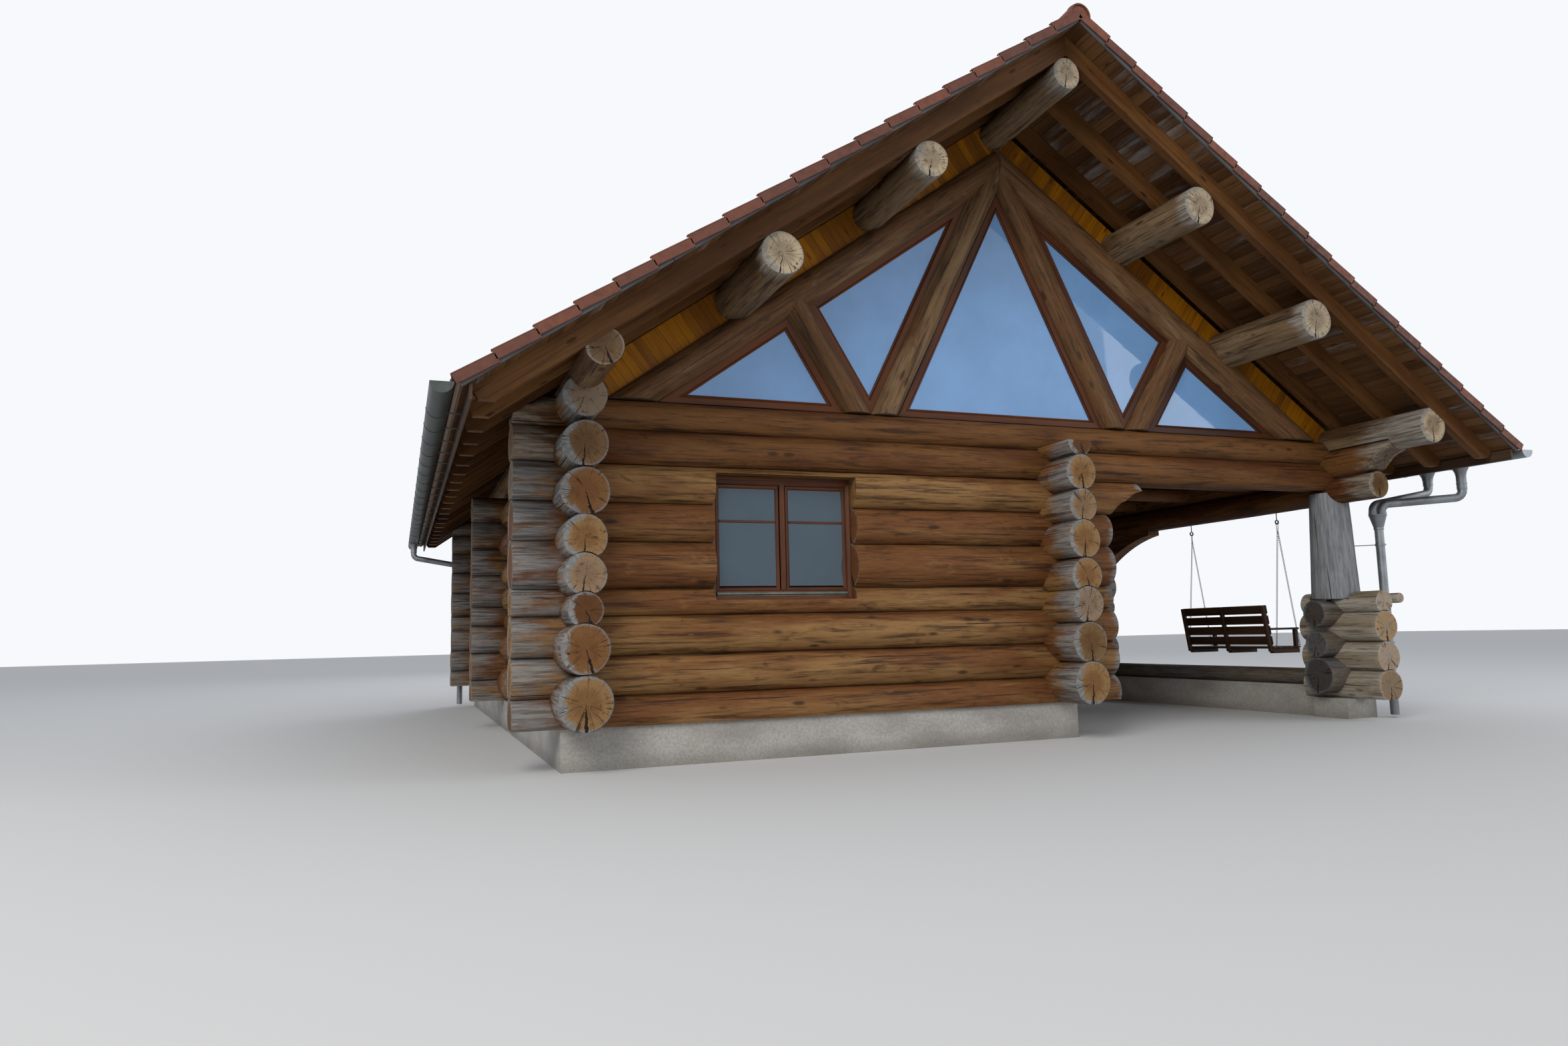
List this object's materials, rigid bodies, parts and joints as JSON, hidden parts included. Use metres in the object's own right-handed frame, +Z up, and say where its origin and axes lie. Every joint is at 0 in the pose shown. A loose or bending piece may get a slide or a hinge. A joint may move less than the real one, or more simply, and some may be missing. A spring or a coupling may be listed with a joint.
{
  "type": "log cabin",
  "caption": "Cabin of scribed round logs with a corner porch on a log pier, glazed log trusses in the gables, a tiled roof with gutters and a hanging porch swing.",
  "frame": {"origin": "on the ground, in the middle of the footprint", "axes": "+Z up; the front gable faces -Y; +X to the right of someone who looks at the front"},
  "size_m": [12.104, 13.61, 7.3489],
  "materials": {
    "wall_logs": "oiled round logs, weathered",
    "header_logs": "oiled round logs",
    "grey_logs": "grey weathered round logs",
    "truss_logs": "peeled round logs, tan and grey",
    "roof_logs": "grey brown round logs with pale ends",
    "rafters": "brown stained planed timber",
    "sheathing": "brown stained boards",
    "gable_boards": "yellow varnished boards",
    "joinery": "mahogany stained frames",
    "glass": "clear window glass",
    "roof_tiles": "matt clay tiles",
    "verge_trim": "grey weathered boards",
    "eaves_boards": "brown boards",
    "zinc": "dull zinc sheet",
    "concrete": "rough cast concrete",
    "floor_boards": "plain boards",
    "swing_wood": "dark brown stained boards",
    "chain": "dull steel chain"
  },
  "bodies": {
    "cabin": {"plinth": "concrete", "floor": "floor_boards", "upper_floor": "floor_boards", "ceiling_joists": "roof_logs", "front_wall": "wall_logs", "left_wall": "wall_logs", "middle_wall": "wall_logs", "cross_wall": "wall_logs", "rear_wall": "wall_logs", "right_wall": "wall_logs", "header_logs": "header_logs", "porch_side_header": "header_logs", "porch_arch": "header_logs", "porch_pier": "grey_logs", "porch_post": "grey_logs", "porch_sill_log": "grey_logs", "ridge_purlin": "roof_logs", "left_purlins": "roof_logs", "right_purlins": "roof_logs", "wall_plates": "roof_logs", "front_truss": "truss_logs", "rear_truss": "truss_logs", "front_gable_frames": "joinery", "rear_gable_frames": "joinery", "gable_glass": "glass", "gable_boards": "gable_boards", "window_frames": "joinery", "window_glass": "glass", "porch_door": "joinery", "left_rafters": "rafters", "right_rafters": "rafters", "left_sheathing": "sheathing", "right_sheathing": "sheathing", "left_tiles": "roof_tiles", "right_tiles": "roof_tiles", "ridge_tiles": "roof_tiles", "verge_trims": "verge_trim", "eaves_boards": "eaves_boards", "left_gutter": "zinc", "right_gutter": "zinc", "downpipes": "zinc", "swing_eyebolts": "chain"},
    "swing": {"swing_bench": "swing_wood", "swing_chains": "chain"}
  },
  "joints": [
    {"name": "porch_swing", "type": "hinge", "parent": "cabin", "child": "swing", "pos_m": [4.72, -3.54, 2.506], "axis": [0, 1, 0], "range_deg": [-14, 14]}
  ]
}
